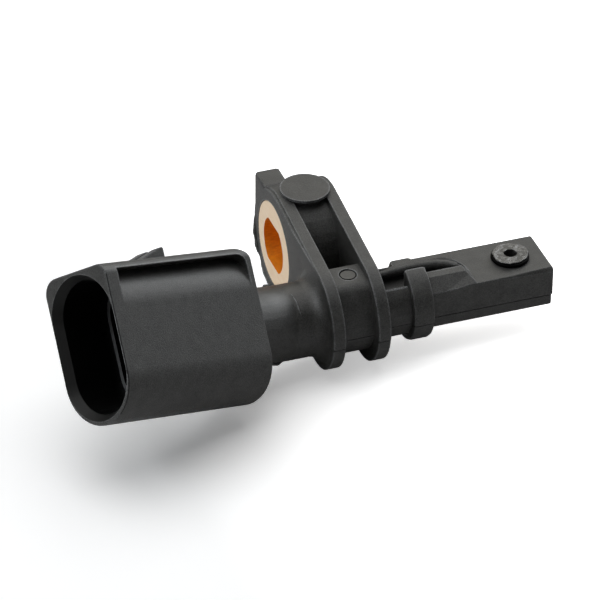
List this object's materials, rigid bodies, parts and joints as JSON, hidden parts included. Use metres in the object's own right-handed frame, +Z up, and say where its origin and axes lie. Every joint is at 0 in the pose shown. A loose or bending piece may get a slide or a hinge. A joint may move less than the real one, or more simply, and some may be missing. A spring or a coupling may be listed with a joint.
{
  "type": "abs wheel speed sensor",
  "caption": "Moulded wheel speed sensor with a bushed bolt eye, a squared sensing tip and an oval plug socket bent off its neck.",
  "frame": {"origin": "where the sensor axis meets the flange's seat face, the face that bears on the hub carrier", "axes": "+X along the sensor axis to the tip, +Y to the bolt eye, +Z up across the flange"},
  "size_m": [0.0725, 0.0459, 0.0295],
  "materials": {
    "housing": "matt spark-eroded black nylon",
    "bush": "turned, lightly mottled",
    "carrier": "glossy black",
    "terminals": "tinned",
    "leads": "plain copper alloy",
    "chip": "moulded epoxy",
    "capacitor": "moulded epoxy"
  },
  "bodies": {
    "root": {"housing": "housing", "bush": "bush", "carrier": "carrier", "terminal_low": "terminals", "terminal_high": "terminals", "lead_near": "leads", "lead_far": "leads", "sensor_chip": "chip", "capacitor": "capacitor"}
  },
  "joints": []
}
